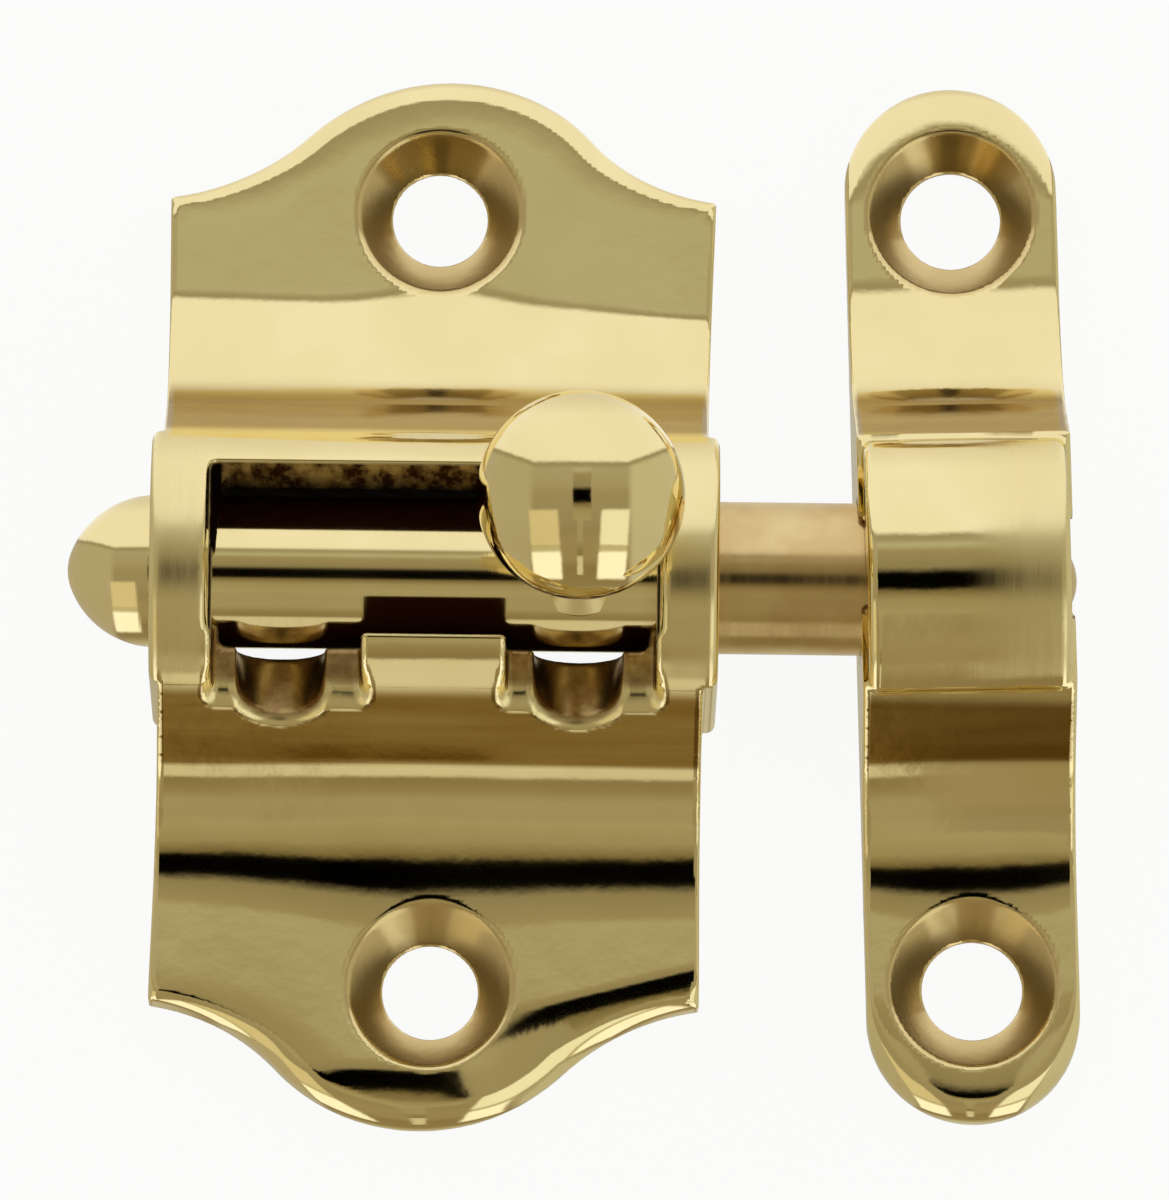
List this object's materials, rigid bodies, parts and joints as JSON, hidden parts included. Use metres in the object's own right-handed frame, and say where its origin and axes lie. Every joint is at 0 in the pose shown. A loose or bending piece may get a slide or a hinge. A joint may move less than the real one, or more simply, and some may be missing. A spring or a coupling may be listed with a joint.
{
  "type": "slide bolt",
  "caption": "Small cast-brass surface slide bolt with a round rod, a turn-down ball knob and a matching arched keeper.",
  "frame": {"origin": "on the housing's flat back face, under the rod, midway between its two screw holes", "axes": "+X along the rod towards the keeper (the way the bolt is thrown), +Y along the plate towards its upper screw hole, +Z out of the mounting face"},
  "size_m": [0.0421, 0.045, 0.0215],
  "materials": {
    "cast_brass": "polished casting, rough inside",
    "turned_brass": "turned rod",
    "polished_brass": "mirror polish"
  },
  "bodies": {
    "housing": {"housing": "cast_brass", "keeper": "cast_brass"},
    "bolt": {"bolt_rod": "turned_brass"},
    "knob": {"knob": "polished_brass"}
  },
  "joints": [
    {"name": "bolt_slide", "type": "slide", "parent": "housing", "child": "bolt", "axis": [1, 0, 0], "range_m": [-0.01235, 0]},
    {"name": "knob_turn", "type": "hinge", "parent": "bolt", "child": "knob", "pos_m": [0.006, 0, 0.0059], "axis": [1, 0, 0], "range_deg": [-16, 70]}
  ]
}
